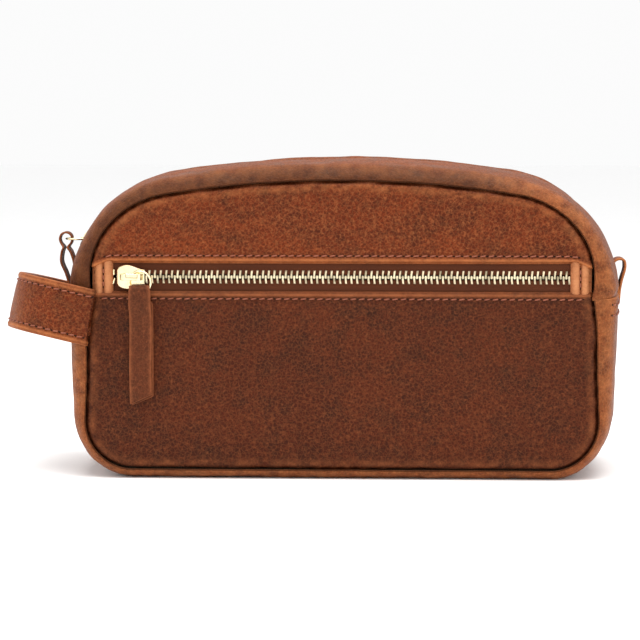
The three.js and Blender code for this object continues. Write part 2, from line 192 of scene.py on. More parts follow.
class Graph:
    """A material's node tree, with one call for each node."""

    def __init__(self, name):
        self.material = bpy.data.materials.new(name)
        self.material.use_nodes = True
        self.tree = self.material.node_tree
        self.tree.nodes.clear()
        self.shader = self.node("ShaderNodeBsdfPrincipled")
        output = self.node("ShaderNodeOutputMaterial")
        self.link(self.shader.outputs["BSDF"], output.inputs["Surface"])
        self.place = self.node("ShaderNodeTexCoord").outputs["Object"]

    def link(self, a, b):
        self.tree.links.new(a, b)

    def node(self, kind, sources=None, **values):
        made = self.tree.nodes.new(kind)
        for key, value in values.items():
            setattr(made, key, value)
        for key, value in (sources or {}).items():
            if isinstance(value, bpy.types.NodeSocket):
                self.link(value, made.inputs[key])
            else:
                made.inputs[key].default_value = value
        return made

    def noise(self, scale, detail=4.0, roughness=0.55, distortion=0.0):
        return self.node("ShaderNodeTexNoise", {
            "Vector": self.place,
            "Scale": scale,
            "Detail": detail,
            "Roughness": roughness,
            "Distortion": distortion,
        }).outputs["Fac"]

    def voronoi(self, scale, feature="F1"):
        sources = {"Vector": self.place, "Scale": scale}
        return self.node("ShaderNodeTexVoronoi", sources, feature=feature).outputs["Distance"]

    def spread(self, value, low, high, to_low=0.0, to_high=1.0):
        return self.node("ShaderNodeMapRange", {
            "Value": value, "From Min": low, "From Max": high, "To Min": to_low, "To Max": to_high,
        }).outputs["Result"]

    def maths(self, operation, a, b=0.0):
        return self.node("ShaderNodeMath", {0: a, 1: b}, operation=operation).outputs[0]

    def plus(self, a, b):
        return self.maths("ADD", a, b)

    def times(self, a, b):
        return self.maths("MULTIPLY", a, b)

    def mix(self, factor, a, b):
        """Colour a where factor is 0 and b where it is 1. A Mix node's colours are its inputs 6 and 7."""
        return self.node("ShaderNodeMix", {0: factor, 6: a, 7: b}, data_type="RGBA").outputs[2]

    def attribute(self, name):
        return self.node("ShaderNodeAttribute", attribute_name=name).outputs["Fac"]

    def bump(self, height, strength, distance, normal=None):
        sources = {"Height": height, "Strength": strength, "Distance": distance}
        if normal is not None:
            sources["Normal"] = normal
        return self.node("ShaderNodeBump", sources).outputs["Normal"]

    def set(self, **values):
        for key, value in values.items():
            socket = self.shader.inputs[key.replace("_", " ")]
            if isinstance(value, bpy.types.NodeSocket):
                self.link(value, socket)
            else:
                socket.default_value = value


def rgb(red, green, blue):
    """A linear colour from sRGB values of 0 to 255."""
    def linear(c):
        c = c / 255
        return c / 12.92 if c <= 0.04045 else ((c + 0.055) / 1.055) ** 2.4
    return (linear(red), linear(green), linear(blue), 1.0)


def leather_material(name, *colours):
    """Mottled, grained leather: its colours are dark, middle, light and worn. One point attribute mixes in
    the worn colour as real wear and as painted highlight; another mixes in the dark colour as painted shade.
    """
    dark, middle, light, worn_and_highlight = (rgb(*colour) for colour in colours)
    g = Graph(name)
    patches = g.spread(g.noise(24, 5, 0.6, distortion=0.4), 0.33, 0.68)
    cloud = g.spread(g.noise(95, 6, 0.68), 0.30, 0.72)
    fine = g.noise(520, 5, 0.62)
    pebble = g.voronoi(980)
    crease = g.spread(g.voronoi(560, feature="DISTANCE_TO_EDGE"), 0.0, 0.13)
    base = g.mix(patches, middle, light)
    base = g.mix(g.spread(cloud, 0.55, 0.0, 0.0, 0.62), base, dark)
    cells = g.spread(g.times(pebble, fine), 0.12, 0.42)
    base = g.mix(g.times(cells, 0.5), base, dark)
    base = g.mix(g.spread(crease, 1.0, 0.0, 0.0, 0.14), base, worn_and_highlight)
    speckle = g.spread(g.noise(760, 3, 0.7), 0.50, 0.74, 0.0, 0.30)
    base = g.mix(speckle, base, worn_and_highlight)
    # This point attribute is real wear and also painted highlight: it lifts the colour towards the worn
    # colour on roll crests, seam shoulders, strap edges and the handle's bend.
    wear = g.times(g.attribute("wear"), g.spread(g.noise(210, 5, 0.65), 0.30, 0.60, 0.45, 1.0))
    base = g.mix(wear, base, worn_and_highlight)
    base = g.mix(g.times(g.attribute("shade"), 0.8), base, dark)
    grain = g.plus(g.times(crease, 0.45), g.times(pebble, -0.6))
    grain = g.plus(grain, g.times(fine, 0.6))
    soft = g.bump(g.noise(140, 4, 0.6), 0.35, 0.0008)
    normal = g.bump(grain, 0.55, 0.00032, soft)
    g.set(
        Base_Color=base,
        Roughness=g.spread(g.plus(cloud, pebble), 0.2, 1.4, 0.40, 0.62),
        Normal=normal,
        Specular_IOR_Level=0.2,
        Specular_Tint=(1.0, 0.78, 0.6, 1.0),
    )
    return g.material


def woven_material(name, dark, light, threads, coordinate="UV"):
    """Twill whose ribs change direction in bands, as on zip tape."""
    g = Graph(name)
    source = g.node("ShaderNodeTexCoord").outputs[coordinate]
    parts = g.node("ShaderNodeSeparateXYZ", {"Vector": source})
    along, across = parts.outputs["X"], parts.outputs["Y"]
    band = g.maths("PINGPONG", across, 2.4 / threads)
    rib = g.maths("SINE", g.times(g.plus(along, g.times(band, 1.2)), threads * 6.28))
    pick = g.maths("SINE", g.times(across, threads * 9.4))
    weave = g.spread(g.plus(rib, g.times(pick, 0.5)), -1.4, 1.4)
    fuzz = g.noise(1500, 4, 0.7)
    base = g.mix(g.times(weave, g.spread(fuzz, 0.3, 0.7, 0.6, 1.0)), dark, light)
    base = g.mix(g.spread(g.noise(60, 3), 0.3, 0.7, 0.0, 0.3), base, dark)
    g.set(
        Base_Color=base,
        Roughness=g.spread(fuzz, 0.3, 0.7, 0.78, 0.92),
        Normal=g.bump(g.plus(weave, g.times(fuzz, 0.4)), 0.7, 0.00022),
        Specular_IOR_Level=0.2,
    )
    return g.material


def metal_material(name, light, dark, roughness, patina):
    g = Graph(name)
    cloud = g.noise(240, 5, 0.6)
    scratch = g.noise(1400, 3, 0.7)
    base = g.mix(g.spread(cloud, 0.42, 0.68, 0.0, patina), light, dark)
    base = g.mix(g.times(g.attribute("shade"), 0.85), base, dark)
    g.set(
        Base_Color=base,
        Metallic=1.0,
        Roughness=g.spread(g.plus(cloud, g.times(scratch, 0.5)), 0.5, 1.0, *roughness),
        Normal=g.bump(scratch, 0.12, 0.00005),
    )
    return g.material


def thread_material(name, dark, light):
    g = Graph(name)
    twist = g.node("ShaderNodeTexWave", {"Vector": g.place, "Scale": 900.0, "Distortion": 2.0}).outputs["Fac"]
    base = g.mix(g.times(twist, g.spread(g.noise(300), 0.3, 0.7, 0.5, 1.0)), dark, light)
    g.set(Base_Color=base, Roughness=g.spread(twist, 0.0, 1.0, 0.5, 0.75), Normal=g.bump(twist, 0.5, 0.0001))
    return g.material


def floor_material():
    g = Graph("studio_floor")
    paper = g.noise(40, 4, 0.5)
    g.set(
        Base_Color=g.mix(paper, rgb(250, 250, 250), rgb(255, 255, 255)),
        Roughness=g.spread(paper, 0.3, 0.7, 0.75, 0.9),
        Normal=g.bump(paper, 0.02, 0.0005),
    )
    return g.material


LEATHER_LOOK = leather_material("cognac_leather", (34, 6, 0), (88, 28, 4), (106, 38, 7), (180, 108, 62))
# Painted shade: a darker copy of the cognac leather for the lower front panel, which gets less light from
# above than the upper one; the back panel uses it too.
SHADED_LOWER_LOOK = leather_material("shaded_cognac_leather", (22, 3, 0), (60, 16, 2), (74, 24, 4), (146, 82, 46))
RIM_LOOK = leather_material("burnished_leather", (34, 8, 1), (92, 34, 7), (110, 46, 13), (184, 114, 66))
TAB_LOOK = leather_material("caramel_leather", (88, 36, 14), (134, 70, 38), (150, 86, 50), (190, 128, 86))
PULL_LOOK = leather_material("dark_leather", (22, 4, 0), (54, 15, 3), (68, 22, 6), (140, 78, 46))
LINING_LOOK = woven_material("cotton_lining", rgb(44, 38, 30), rgb(84, 74, 60), 1400, "Object")
TAPE_LOOK = woven_material("herringbone_tape", rgb(46, 20, 8), rgb(116, 60, 32), 1150)
TEETH_LOOK = metal_material("antique_brass", rgb(226, 212, 178), rgb(84, 70, 46), (0.22, 0.45), 0.7)
GOLD_LOOK = metal_material("pale_gold", rgb(250, 236, 196), rgb(206, 172, 104), (0.12, 0.28), 0.3)
RECESS_LOOK = metal_material("dark_recess", rgb(62, 60, 52), rgb(26, 24, 22), (0.4, 0.6), 0.8)
THREAD_LOOK = thread_material("waxed_thread", rgb(104, 48, 26), rgb(166, 94, 64))
# Painted shadow: the dark colour of the small domes that stand in for the shade inside needle holes.
HOLE_SHADOW_LOOK = leather_material("painted_hole_shadow", (18, 8, 5), (30, 13, 8), (38, 17, 10), (44, 22, 14))


# Mesh helpers

def volume(vertices, faces):
    total = 0.0
    for face in faces:
        a = vertices[face[0]]
        for i in range(1, len(face) - 1):
            total += np.dot(a, np.cross(vertices[face[i]], vertices[face[i + 1]]))
    return total / 6


def make(name, vertices, faces, material, slot, uv=None, smooth=True, **attributes):
    """One mesh object from points in mm, with its faces turned outwards. attributes are values per point."""
    vertices = np.asarray(vertices, float)
    if volume(vertices, faces) < 0:
        faces = [tuple(reversed(face)) for face in faces]
    mesh = bpy.data.meshes.new(name)
    mesh.from_pydata((vertices * MM).tolist(), [], [tuple(int(i) for i in face) for face in faces])
    mesh.validate()
    for key, values in attributes.items():
        data = mesh.attributes.new(key, "FLOAT", "POINT")
        data.data.foreach_set("value", np.asarray(values, np.float32))
    if uv is not None:
        layer = mesh.uv_layers.new(name="flat")
        index = np.zeros(len(mesh.loops), int)
        mesh.loops.foreach_get("vertex_index", index)
        layer.data.foreach_set("uv", (np.asarray(uv)[index] * MM).astype(np.float32).ravel())
    mesh.polygons.foreach_set("use_smooth", [smooth] * len(mesh.polygons))
    piece = add_object(name, mesh)
    mesh.materials.append(material)
    return piece


def unit(v):
    return v / np.maximum(np.linalg.norm(v, axis=-1, keepdims=True), 1e-9)


def normals_of(points, away_from):
    """Unit normals of a grid of points, pointing away from the points away_from."""
    found = unit(np.cross(np.gradient(points, axis=0), np.gradient(points, axis=1)))
    flip = np.sum(found * (points - away_from), axis=-1) < 0
    return np.where(flip[..., None], -found, found)


def border(rows, columns):
    top = [(0, c) for c in range(columns)]
    right = [(r, columns - 1) for r in range(1, rows)]
    bottom = [(rows - 1, c) for c in range(columns - 2, -1, -1)]
    left = [(r, 0) for r in range(rows - 2, 0, -1)]
    return top + right + bottom + left


def sheet(name, points, normals, thickness, material, slot, wear=0.0, shade=0.0, edge_wear=0.6, steps=4):
    """A closed piece of leather or cloth under a grid of points, with rounded edges."""
    rows, columns = points.shape[:2]
    thick = np.broadcast_to(np.asarray(thickness, float), (rows, columns))[..., None]
    count = rows * columns
    inner = points - normals * thick
    loop = border(rows, columns)
    r, c = np.array(loop).T
    inwards = np.array([(min(max(a, 1), rows - 2), min(max(b, 1), columns - 2)) for a, b in loop])
    away = unit(points[r, c] - points[inwards[:, 0], inwards[:, 1]])
    away = unit(away - normals[r, c] * np.sum(away * normals[r, c], axis=1, keepdims=True))
    half = thick[r, c] / 2
    middle = points[r, c] - normals[r, c] * half
    rings = []
    for k in range(1, steps):
        turn = math.pi * k / steps
        rings.append(middle + normals[r, c] * half * math.cos(turn) + away * half * math.sin(turn))
    vertices = np.concatenate([points.reshape(-1, 3), inner.reshape(-1, 3), *rings])
    faces = []
    for a in range(rows - 1):
        for b in range(columns - 1):
            q = (a * columns + b, a * columns + b + 1, (a + 1) * columns + b + 1, (a + 1) * columns + b)
            faces.append(q)
            faces.append(tuple(count + i for i in reversed(q)))
    edge = [a * columns + b for a, b in loop]
    n = len(edge)
    between = [[2 * count + k * n + i for i in range(n)] for k in range(steps - 1)]
    levels = [edge, *between, [count + i for i in edge]]
    for low, high in zip(levels, levels[1:]):
        for i in range(n):
            j = (i + 1) % n
            faces.append((low[j], low[i], high[i], high[j]))
    along, across = run(points[rows // 2]), run(points[:, columns // 2])
    flat = np.stack(np.meshgrid(along, across), axis=-1).reshape(-1, 2)
    uv = np.concatenate([flat, flat] + [flat[edge]] * (steps - 1))

    # The rounded rim takes at least the edge value: real rubbed edges, and on straps and pulls a painted
    # highlight along the edge.
    def values(field, at_edge):
        grid = np.broadcast_to(np.asarray(field, float), (rows, columns)).reshape(-1)
        rim = np.maximum(grid[edge], at_edge)
        return np.concatenate([grid, grid] + [rim] * (steps - 1))

    return make(
        name, vertices, faces, material, slot, uv=uv,
        wear=np.clip(values(wear, edge_wear), 0, 1), shade=np.clip(values(shade, 0.0), 0, 1),
    )


def wave(points, size, seed=0.0):
    """Smooth noise from -1 to 1 at each point, with features of about that size."""
    flat = points.reshape(-1, 3) / size + seed
    found = np.array([noise.noise(Vector(p)) for p in flat])
    return found.reshape(points.shape[:-1])


def smoothstep(low, high, value):
    t = np.clip((value - low) / (high - low), 0, 1)
    return t * t * (3 - 2 * t)


def hump(distance, width):
    """A soft ridge: 1 at no distance, and near 0 past twice the width."""
    return np.exp(-(distance / width) ** 2)


def curve_through(points, steps):
    """A smooth line through control points, the same number of steps between each pair."""
    p = np.array(points, float)
    p = np.vstack([2 * p[0] - p[1], p, 2 * p[-1] - p[-2]])
    out = []
    for a, b, c, d in zip(p, p[1:], p[2:], p[3:]):
        for i in range(steps):
            t = i / steps
            out.append(0.5 * (2 * b + (c - a) * t + (2 * a - 5 * b + 4 * c - d) * t * t
                              + (3 * b - a - 3 * c + d) * t ** 3))
    out.append(p[-2])
    return np.array(out)


def run(points):
    """Length along a line at each of its points."""
    return np.r_[0, np.cumsum(np.linalg.norm(np.diff(points, axis=0), axis=1))]


def sample(rows, length, at):
    """The rows of a line, read at other lengths."""
    return np.stack([np.interp(at, length, column) for column in rows.T], axis=1)


def resample(line, spacing=None, count=None):
    """The same line with evenly spaced points. Its first three columns are the place."""
    length = run(line[:, :3])
    steps = count or max(2, int(round(length[-1] / spacing)) + 1)
    return sample(line, length, np.linspace(0, length[-1], steps))


# The outline seen from the front: rows of x, z and the outward normal's x and z

def arc(cx, cz, radius, start, end, steps=40):
    """Rows of x, z and normal along an arc, from start to end in degrees."""
    a = np.radians(np.linspace(start, end, steps))
    return np.stack([cx + radius * np.cos(a), cz + radius * np.sin(a), np.cos(a), np.sin(a)], axis=1)


def spaced(stations, count):
    """The same outline with count evenly spaced rows."""
    length = np.r_[0, np.cumsum(np.hypot(*np.diff(stations[:, :2], axis=0).T))]
    found = sample(stations, length, np.linspace(0, length[-1], count))
    found[:, 2:] = unit(found[:, 2:])
    return found


def over_top(count=220):
    """From the right side joint over the arch to the left one."""
    crown_radius = corner_x / math.sin(CROWN) + TOP_RADIUS
    tilt = math.degrees(CROWN)
    right = arc(corner_x, corner_z, TOP_RADIUS, 0, 90 - tilt)
    crown = arc(0, BODY_HEIGHT - crown_radius, crown_radius, 90 - tilt, 90 + tilt)
    left = arc(-corner_x, corner_z, TOP_RADIUS, 90 + tilt, 180)
    return spaced(np.concatenate([right, crown[1:], left[1:]]), count)


def under_base(count=280):
    """From the right side joint down, under the base and up to the left one."""
    flare = math.degrees(FLARE)
    sine, cosine = math.sin(FLARE), math.cos(FLARE)
    side = (corner_z - BOTTOM_RADIUS * (1 - sine) - TOP_RADIUS * sine) / cosine
    base_half = corner_x + TOP_RADIUS * cosine - side * sine - BOTTOM_RADIUS * cosine
    shoulder = arc(corner_x, corner_z, TOP_RADIUS, 0, -flare, 4)
    corner = arc(base_half, BOTTOM_RADIUS, BOTTOM_RADIUS, -flare, -90, 30)
    half = np.concatenate([shoulder, corner, [[0, 0, 0, -1]]])
    mirror = half[::-1][1:] * np.array([-1, 1, -1, 1])
    return spaced(np.concatenate([half, mirror]), count)


def around(inset, nz):
    """An inset that turns from its base value at the bottom to its side value and its top value."""
    end = np.where(nz < 0, inset["base"], inset["top"])
    return inset["side"] + (end - inset["side"]) * nz * nz


def seam_shift(nz, z):
    """The seam pulls in at the pocket zip, and runs closer to the outline round the corners."""
    pinch = ZIP_PINCH * hump(z - corner_z - 3, 13)
    low_corner = -LOW_CORNER * hump(z - 18, 24) * (1 - nz ** 4)
    high_corner = -HIGH_CORNER * np.where(nz > 0, 4 * nz ** 2 * (1 - nz ** 2), 0)
    return pinch + low_corner + high_corner


def face_inset(nz, z, y):
    """How far the gusset's outer face lies inside the outline at a depth y."""
    reach = np.minimum(np.abs(y), SEAM_DEPTH)
    roll = np.clip((reach - (HALF_DEPTH - ROLL_DEPTH)) / ROLL_DEPTH, 0, 1)
    swell = np.clip((reach - MOUTH_HALF) / (HALF_DEPTH - MOUTH_HALF), 0, None)
    dip = np.clip(1 - (reach - MOUTH_HALF) / ZIP_DIP_WIDTH, 0, 1)
    lowered = np.where(nz > 0, ZIP_DIP, 0) * dip * dip * (3 - 2 * dip) * np.minimum(1, np.abs(nz) * 4)
    rolled = (around(ROLL, nz) + seam_shift(nz, z)) * (1 - np.sqrt(1 - roll * roll))
    return rolled + around(SWELL, nz) * swell * swell + lowered


def on_body(stations, inset, y):
    x, z, nx, nz = stations.T
    return np.stack([x - nx * inset, np.broadcast_to(y, x.shape), z - nz * inset], axis=-1)


def seam_line(stations, extra=0.0):
    """The line where the gusset meets the front or back panel."""
    inset = face_inset(stations[:, 3], stations[:, 1], SEAM_DEPTH) + FLANGE_RADIUS + extra
    return on_body(stations, inset, 0.0)[:, [0, 2]]


TOP_LINE = over_top()
BASE_LINE = under_base()
WHOLE_SEAM = np.concatenate([seam_line(TOP_LINE), seam_line(BASE_LINE)[::-1]])
SEAM_HALF = np.interp(fold[2], seam_line(TOP_LINE)[:110, 1], seam_line(TOP_LINE)[:110, 0])


def seam_distance(x, z):
    """Distance from each point to the seam round the panels."""
    flat = np.stack([np.ravel(x), np.ravel(z)], axis=1)
    best = np.full(len(flat), 1e9)
    for start in range(0, len(flat), 2000):
        part = flat[start:start + 2000]
        gap = np.hypot(part[:, :1] - WHOLE_SEAM[:, 0], part[:, 1:] - WHOLE_SEAM[:, 1])
        best[start:start + 2000] = gap.min(axis=1)
    return best.reshape(np.shape(x))


# Gussets

def gusset_profile(stop, side):
    """Depths and extra insets across a gusset, from the flange inside the seam to the depth stop."""
    turn = np.radians([100, 78, 56, 34, 14])
    depth = [SEAM_DEPTH - FLANGE_END, *(SEAM_DEPTH - FLANGE_RADIUS * (1 - np.cos(turn)))]
    extra = [FLANGE_RADIUS, *(FLANGE_RADIUS * np.sin(turn))]
    start = HALF_DEPTH - ROLL_DEPTH
    roll = start + (SEAM_DEPTH - start) * np.sin(np.linspace(math.pi / 2, 0, 11))
    flat = np.linspace(start, stop, 16)[1:]
    depth = np.concatenate([depth, roll, flat])
    extra = np.concatenate([extra, np.zeros(len(roll) + len(flat))])
    return side * depth, extra


def undulation(points, seed):
    return 0.55 * wave(points, 26, seed) + 0.30 * wave(points, 9, seed + 7)


def gusset_grid(stations, depths, extras, seed):
    """Points, wear and shade of a gusset's outer face, with soft waves, and puckers along its seam. The
    lightening along the roll's crest is painted highlight over a little even wear, and the shade is painted
    shade in and beside the seam.
    """
    inset = face_inset(stations[:, 3][None, :], stations[:, 1][None, :], depths[:, None]) + extras[:, None]
    points = np.stack([on_body(stations, inset[i], depths[i]) for i in range(len(depths))])
    near_seam = hump(SEAM_DEPTH - np.abs(depths), 3.2)[:, None]
    crest = hump(SEAM_DEPTH - 4 - np.abs(depths), 4.5)[:, None]
    lift = undulation(points, seed)
    pucker = wave(points * np.array([1, 0.2, 1]), 3.6, seed + 3)
    lift = lift * (1 - near_seam * 0.6) + 0.26 * pucker * (near_seam + 0.5 * crest)
    lift = np.where(extras[:, None] > 0, lift * 0.3, lift)
    out = np.stack([stations[:, 2], np.zeros(len(stations)), stations[:, 3]], axis=1)
    points = points + out[None] * lift[..., None]
    # Painted highlight along the roll's crest, on a little even wear.
    wear = 0.10 + 0.35 * crest * np.clip(0.6 + pucker, 0, 1) + 0 * lift
    shade = np.where(extras[:, None] > 0, 0.85, 0.0) + 0.25 * near_seam * np.clip(-pucker, 0, 1)
    return points, wear, shade


def skived(depths):
    """Leather thins towards its turned edge."""
    return 0.5 + (LEATHER - 0.5) * smoothstep(SEAM_DEPTH - 0.6, SEAM_DEPTH - 7, np.abs(depths))


def bag_centre(points):
    """For each point, the nearest point of a block inside the bag."""
    return np.stack([
        np.clip(points[..., 0], -corner_x, corner_x),
        np.clip(points[..., 1], -HALF_DEPTH + 12, HALF_DEPTH - 12),
        np.clip(points[..., 2], 45, corner_z),
    ], axis=-1)


def on_bag(piece):
    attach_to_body(piece, "bag")


def on_front_flap(piece):
    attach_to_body(piece, "front_flap")


def bender():
    """Gives a function that bakes a piece's transform into its mesh; the piece is not bent."""

    def bend(piece):
        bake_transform(piece)

    return bend


def build_bottom_gusset():
    depths, extras = gusset_profile(0, -1)
    depths = np.concatenate([depths, -depths[::-1][1:]])
    extras = np.concatenate([extras, extras[::-1][1:]])
    points, wear, shade = gusset_grid(BASE_LINE, depths, extras, BASE_SEED)
    flat_base = np.clip(1 - points[..., 2] / 1.2, 0, 1)
    points[..., 2] = np.maximum(points[..., 2], 0.0)
    butt = hump(points[..., 0] - BUTT_JOINT, 0.45) * (points[..., 2] < BUTT_HEIGHT)
    points[..., 2] += butt * 0.5 * np.clip(1 - points[..., 2] / BUTT_HEIGHT, 0, 1)
    shade = shade + 0.6 * butt + 0.1 * flat_base
    thick = np.broadcast_to(skived(depths)[:, None], points.shape[:2])
    piece = sheet("bottom_gusset_leather", points, normals_of(points, bag_centre(points)), thick,
                  RIM_LOOK, "leather", wear, shade)
    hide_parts("bottom_gusset")
    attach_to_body(piece, "bag")


def lap(points):
    """How far the strip dips under the bottom gusset's lapped edge."""
    return LAP_STEP * (1 - smoothstep(corner_z, corner_z + LAP_HEIGHT, points[..., 2]))


def build_zip_gusset(name, side):
    depths, extras = gusset_profile(MOUTH_HALF + 0.9, side)
    points, wear, shade = gusset_grid(TOP_LINE, depths, extras, 11.0 + side)
    out = np.stack([TOP_LINE[:, 2], np.zeros(len(TOP_LINE)), TOP_LINE[:, 3]], axis=1)[None]
    points = points - out * lap(points)[..., None]
    mouth = np.abs(depths)[:, None] - MOUTH_HALF
    groove = hump(mouth - MOUTH_SEW, 0.7)
    points = points + out * (0.25 * hump(mouth - 1.4, 1.0) - 0.22 * groove)[..., None]
    wear = wear + 0.25 * hump(mouth - 1.2, 0.9)
    beside_seam = hump(SEAM_DEPTH - np.abs(depths[:, None]), 7.0)
    shade = shade + 0.85 * beside_seam * (1 - smoothstep(50, 100, points[..., 0]))
    thick = np.broadcast_to(skived(depths)[:, None], points.shape[:2])
    piece = sheet(f"{name}_gusset_leather", points, normals_of(points, bag_centre(points)), thick,
                  RIM_LOOK, "leather", wear, shade)
    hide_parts(f"{name}_zip_gusset")
    bend = bender()
    bend(piece)
    row = np.argmin(np.abs(np.abs(depths) - MOUTH_HALF - MOUTH_SEW))
    line = points[row, 6:-6]
    normals = np.broadcast_to(out[0], points.shape[1:])[6:-6]
    stitches(f"{name}_mouth", line, normals, bend)


# Stitching

def tube(centres, across, up, radii, sides=6):
    """Closed tube along points with two frame directions and a radius at each."""
    vertices, faces = [centres[0]], []
    for centre, a, b, radius in zip(centres[1:-1], across[1:-1], up[1:-1], radii[1:-1]):
        for k in range(sides):
            turn = 2 * math.pi * k / sides
            vertices.append(centre + radius * (a * math.cos(turn) + b * math.sin(turn)))
    vertices.append(centres[-1])
    last = len(vertices) - 1
    rings = len(centres) - 2
    for k in range(sides):
        j = (k + 1) % sides
        faces.append((0, 1 + j, 1 + k))
        faces.append((last, last - sides + k, last - sides + j))
        for i in range(rings - 1):
            a = 1 + i * sides
            faces.append((a + k, a + j, a + sides + j, a + sides + k))
    return vertices, faces


def stitches(name, line, normals, attach, pitch=STITCH_PITCH):
    """A row of thread stitches on a line of surface points, with a dark dome at each needle hole as painted
    shadow of the hole.
    """
    both = resample(np.concatenate([line, normals], axis=1), spacing=pitch / 6)
    length = run(both[:, :3])
    count = max(1, int(length[-1] // pitch))
    at = (length[-1] - count * pitch) / 2 + pitch * np.arange(count + 1)
    place = sample(both, length, at)
    thread_v, thread_f, hole_v, hole_f = [], [], [], []
    t = np.linspace(-1, 1, 7)
    for a, b in zip(place, place[1:]):
        up = unit(a[3:] + b[3:])
        along = b[:3] - a[:3]
        across = unit(np.cross(up, along))
        along = along + across * STITCH_SLANT * pitch
        middle = (a[:3] + b[:3]) / 2 + up * STITCH_LIFT
        centres = middle + np.outer(t * 0.40, along) + np.outer(0.30 * (1 - t ** 2) - 0.22 * t ** 4, up)
        radii = THREAD * np.sqrt(np.clip(1 - (0.93 * t) ** 6, 0, 1))
        vertices, faces = tube(centres, np.tile(unit(across), (7, 1)), np.tile(up, (7, 1)), radii)
        thread_f += [tuple(i + len(thread_v) for i in face) for face in faces]
        thread_v += vertices
    # Painted shadow: a small dark dome over each stitch point stands in for the shade in the needle hole.
    for p in place:
        up = unit(p[3:])
        side = unit(np.cross(up, [0.31, 0.22, 0.92]))
        other = np.cross(up, side)
        start = len(hole_v)
        turns = 2 * math.pi * np.arange(8) / 8
        rim = p[:3] + up * (STITCH_LIFT + 0.02)
        hole_v.append(p[:3] + up * (STITCH_LIFT + 0.10))
        hole_v += [rim + NEEDLE_HOLE * (side * math.cos(k) + other * math.sin(k)) for k in turns]
        hole_v.append(p[:3] - up * 0.5)
        for k in range(8):
            j = (k + 1) % 8
            hole_f.append((start, start + 1 + k, start + 1 + j))
            hole_f.append((start + 9, start + 1 + j, start + 1 + k))
    attach(make(f"{name}_thread", thread_v, thread_f, THREAD_LOOK, "leather"))
    attach(make(f"{name}_needle_hole_shadows", hole_v, hole_f, HOLE_SHADOW_LOOK, "leather",
                wear=np.zeros(len(hole_v)), shade=np.zeros(len(hole_v))))


# Front and back panels

SHOULDER = 2.1
LOWER_SEED = 4.0
UPPER_SEED = 9.0
BACK_SEED = 15.0
LOWER_SEW = 2.5
UPPER_SEW = 2.7
PANEL_SEAM = 0.3


def shoulder(distance):
    """How far the panel's face falls back as it turns into the seam."""
    d = np.clip((distance - PANEL_SEAM) / SHOULDER, 0, 1)
    return SHOULDER * (1 - np.sqrt(1 - (1 - d) ** 2))


def panel_surface(x, z, side, seed, edges=()):
    """Depth, wear and shade of a panel's outer face: the lightening on the shoulder into the seam is painted
    highlight, the lightening at turned edges is wear, and the shade is painted shade. edges are grids of
    distance from each turned edge.
    """
    flat = np.stack([x, 0 * x, z], axis=-1)
    distance = seam_distance(x, z)
    inside = smoothstep(0, 40, distance)
    crown = 0.55 * inside + 0.35 * wave(flat, 38, seed) * inside + 0.10 * wave(flat, 11, seed + 5)
    pucker = wave(flat, 4.2, seed + 9) * hump(distance - 2.5, 3.0)
    crown = crown + 0.20 * pucker
    # Painted highlight on the shoulder where the panel turns into the seam.
    wear = 0.45 * hump(distance - 2.6, 1.6) * np.clip(0.5 + pucker, 0, 1)
    shade = 0.7 * smoothstep(1.4, 0.2, distance) + 0.22 * np.exp(-distance / 9)
    for edge in edges:
        crown = crown + 0.38 * hump(edge - 0.9, 0.8) - 0.30 * hump(edge - 2.5, 0.7)
        crown = crown - 0.9 * np.clip(1 - edge / 0.9, 0, 1) ** 2
        wear = wear + 0.75 * hump(edge - 0.7, 0.7)
        shade = shade * smoothstep(0, 3, edge) + 0.18 * hump(edge - 3.6, 0.9)
    return side * (HALF_DEPTH + crown - shoulder(distance)), wear, shade


def edge_spacing(count, power=0.72):
    """Values from 0 to 1, closer together towards both ends."""
    t = np.linspace(-1, 1, count)
    bent = np.sign(t) * (1 - (1 - np.abs(t)) ** (1 / power))
    return (bent + 1) / 2


def facing(points, side):
    """Normals straight to the front (-1) or to the back (1)."""
    normals = np.zeros_like(points)
    normals[..., 1] = side
    return normals


def panel_sheet(name, x, z, side, seed, edges, nodes, look):
    y, wear, shade = panel_surface(x, z, side, seed, edges)
    points = np.stack([x, y, z], axis=-1)
    normals = facing(points, side)
    piece = sheet(name, points, normals, LEATHER, look, "leather", wear, shade, 0.35)
    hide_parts(*nodes)
    return piece


def row_on_panel(height, half, side, seed, edge):
    """A line on a panel's face for stitches, at height(x) and edge inside the turned edge."""
    x = np.linspace(-half, half, 160)
    z = height(x)
    y = panel_surface(x, z, side, seed, (np.full_like(x, edge),))[0]
    line = np.stack([x, y, z], axis=1)
    normals = np.tile([0.0, side, 0.0], (len(x), 1))
    return line, normals


def build_lower_front():
    seam = seam_line(BASE_LINE, PANEL_SEAM)
    right = seam[:len(seam) // 2 + 1]
    low, high = right[-1, 1], lower_high[2] - 0.2
    rise = edge_spacing(64)
    heights = low + (high - low) * rise
    widths = np.interp(heights, right[::-1, 1], right[::-1, 0])
    across = edge_spacing(150) * 2 - 1
    x = widths[:, None] * across[None]
    z = np.broadcast_to(heights[:, None], x.shape)
    nodes = ("lower_front_panel",)
    piece = panel_sheet("lower_front_leather", x, z, -1, LOWER_SEED, (high - z,), nodes, SHADED_LOWER_LOOK)
    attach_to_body(piece, "bag")
    line, normals = row_on_panel(
        lambda x: np.full_like(x, high - LOWER_SEW), SEAM_HALF - 3.2, -1, LOWER_SEED, LOWER_SEW
    )
    stitches("lower_front", line, normals, on_bag)


def upper_edge(x):
    """Height of the upper panel's turned edge, which droops into the seam at both ends."""
    return upper_low[2] - 0.2 - 2.6 * smoothstep(SEAM_HALF - 8, SEAM_HALF, np.abs(x))


